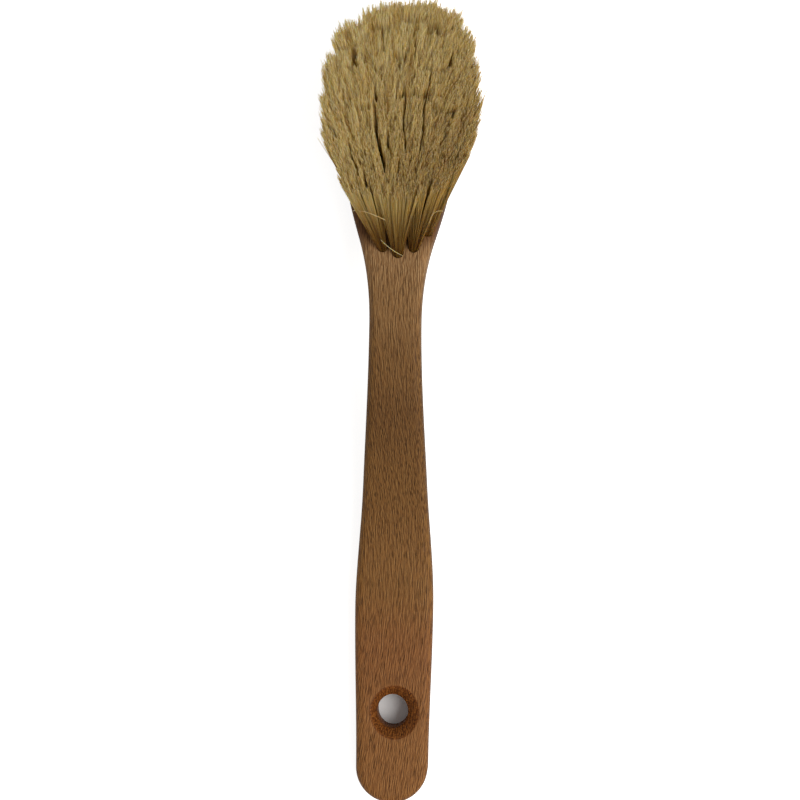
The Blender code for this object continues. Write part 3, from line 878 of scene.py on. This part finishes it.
def laid_strands(name, draw, path, radius, tone, rise):
    """Strands of their own radius along paths, with a tone and a rise at each point of a path."""
    along = np.gradient(path, axis=1)
    along /= np.linalg.norm(along, axis=2, keepdims=True)
    across = np.array((1.0, 0, 0)) - along * along[..., :1]
    across /= np.linalg.norm(across, axis=2, keepdims=True)
    third = np.cross(along, across)
    twist = draw.uniform(0, 2 * math.pi, len(path))

    mesh = strands(len(path))
    flat = np.zeros(len(mesh.vertices) * 3)
    mesh.vertices.foreach_get("co", flat)
    local = flat.reshape(len(path), -1, 3)
    station = np.rint(local[0, :, 2]).astype(int)
    turned = np.arctan2(local[0, :, 1], local[0, :, 0]) + twist[:, None]
    off = np.cos(turned)[..., None] * across[:, station] + np.sin(turned)[..., None] * third[:, station]
    mesh.vertices.foreach_set("co", (path[:, station] + radius[:, None, None] * off).ravel())
    for layer, values in (("tone", tone), ("rise", rise)):
        attribute = mesh.attributes.new(layer, "FLOAT", "POINT")
        attribute.data.foreach_set("value", values[:, station].ravel().astype(np.float32))
    mesh.update()
    mesh.shade_smooth()
    made = bpy.data.objects.new(name, mesh)
    bpy.context.scene.collection.objects.link(made)
    return made


def stray_fibres():
    """The fibres that have come loose and lie across the foot of the tufts."""
    start, over, end = (np.array(STRAYS)[:, k, None] * MM for k in range(3))
    share = np.linspace(0, 1, STATIONS)[None, :, None]
    path = (1 - share) ** 2 * start + 2 * share * (1 - share) * over + share**2 * end
    count = len(STRAYS)
    radius = np.full(count, STRAY_RADIUS)
    full = np.ones((count, STATIONS))
    return laid_strands("stray_fibres", np.random.default_rng(90), path, radius, full, full)


tuft_frames = [tuft_frame(x, along) for x, along in hole_places()]
dome = trimmed_dome(tuft_frames)

block = beech_block()
cut_away(block, hang_hole_cutter())
cut_away(block, tuft_holes_cutter(tuft_frames))
block.data.set_sharp_from_angle(angle=math.radians(38))
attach(block, "root")
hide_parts("beech_block")

for number, place in enumerate(tuft_frames, start=1):
    bundle = tuft(number, place, np.array(LEANING.get(number, (0, 0))) * MM)
    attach(bundle, "root")
    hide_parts(f"tuft_{number:02d}")
    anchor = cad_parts[f"anchor_{number:02d}"]
    anchor.data.materials.clear()
    anchor.data.materials.append(STEEL)

loose = stray_fibres()
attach(loose, "root")


# Floor, light and camera


def white_floor():
    """A pale floor that the camera sees as white paper, unlit inside the hanging hole."""
    material = bpy.data.materials.new("white_paper")
    tree = Nodes(material)
    tree.nodes.clear()
    spot = tree.add("ShaderNodeTexCoord").outputs["Object"]
    hole = (0, HANG_HOLE_FROM_TAIL - ORIGIN_FROM_TAIL, 0)
    off = tree.add("ShaderNodeVectorMath", {0: spot, 1: hole}, operation="DISTANCE").outputs["Value"]
    none, full = UNLIT_IN_HOLE
    values = {"Value": off, "From Min": none, "From Max": full, "To Max": FLOOR_GLOW}
    clear = tree.add("ShaderNodeMapRange", values).outputs["Result"]
    seen = tree.add("ShaderNodeLightPath").outputs["Is Camera Ray"]
    strength = tree.add("ShaderNodeMath", {0: seen, 1: clear}, operation="MULTIPLY").outputs[0]
    paper = tree.add("ShaderNodeBsdfDiffuse", {"Color": (0.86, 0.86, 0.85, 1)}).outputs[0]
    glow = tree.add("ShaderNodeEmission", {"Color": (1, 1, 1, 1), "Strength": strength}).outputs[0]
    both = tree.add("ShaderNodeAddShader", {0: paper, 1: glow}).outputs[0]
    tree.add("ShaderNodeOutputMaterial", {"Surface": both})
    bm = bmesh.new()
    bmesh.ops.create_grid(bm, x_segments=1, y_segments=1, size=3)
    floor = new_piece("floor", bm, material)


def studio_world():
    """Even soft light from all round, white where the camera looks past the floor."""
    world = bpy.data.worlds.new("studio")
    bpy.context.scene.world = world
    tree = Nodes(world)
    seen = tree.add("ShaderNodeLightPath").outputs["Is Camera Ray"]
    strength = tree.add("ShaderNodeMix", {0: seen, 2: WORLD_LIGHT, 3: 1.0}).outputs[0]
    back = tree.nodes["Background"].inputs
    back["Color"].default_value = (1, 1, 1, 1)
    tree.links.new(strength, back["Strength"])


def softbox(name, azimuth, elevation, distance, size, power):
    """A square lamp that looks at the middle of the brush."""
    lamp = bpy.data.lights.new(name, "AREA")
    lamp.shape = "SQUARE"
    lamp.size = size
    lamp.energy = power
    made = bpy.data.objects.new(name, lamp)
    bpy.context.scene.collection.objects.link(made)
    a, e = math.radians(azimuth), math.radians(elevation)
    towards = Vector((math.cos(a) * math.cos(e), math.sin(a) * math.cos(e), math.sin(e)))
    made.location = Vector(LIT_PLACE) + towards * distance
    made.rotation_mode = "QUATERNION"
    made.rotation_quaternion = towards.to_track_quat("Z", "Y")


def photo_camera():
    """The camera that took the photograph: straight down, a little to the right of the brush."""
    data = bpy.data.cameras.new("photo_camera")
    data.sensor_width = 36
    height = CAMERA_HEIGHT - HANDLE_THICKNESS
    data.lens = data.sensor_width * height / (PHOTO_SCALE * PHOTO_SIDE)
    data.shift_x = (PHOTO_SIDE / 2 - FOOT_PIXEL) / PHOTO_SIDE
    data.clip_start, data.clip_end = 0.05, 10
    camera = bpy.data.objects.new("photo_camera", data)
    bpy.context.scene.collection.objects.link(camera)
    across = (FOOT_PIXEL - MIDDLE_PIXEL) * PHOTO_SCALE
    middle = Vector((0, MIDDLE_ALONG - ORIGIN_FROM_TAIL, 0))
    camera.location = middle + Vector((across * math.cos(LEAN), across * math.sin(LEAN), CAMERA_HEIGHT))
    camera.rotation_euler = (0, 0, LEAN)
    bpy.context.scene.camera = camera


white_floor()
studio_world()
softbox("key_light", **KEY_LIGHT)
photo_camera()

bpy.context.scene.view_settings.view_transform = "Standard"
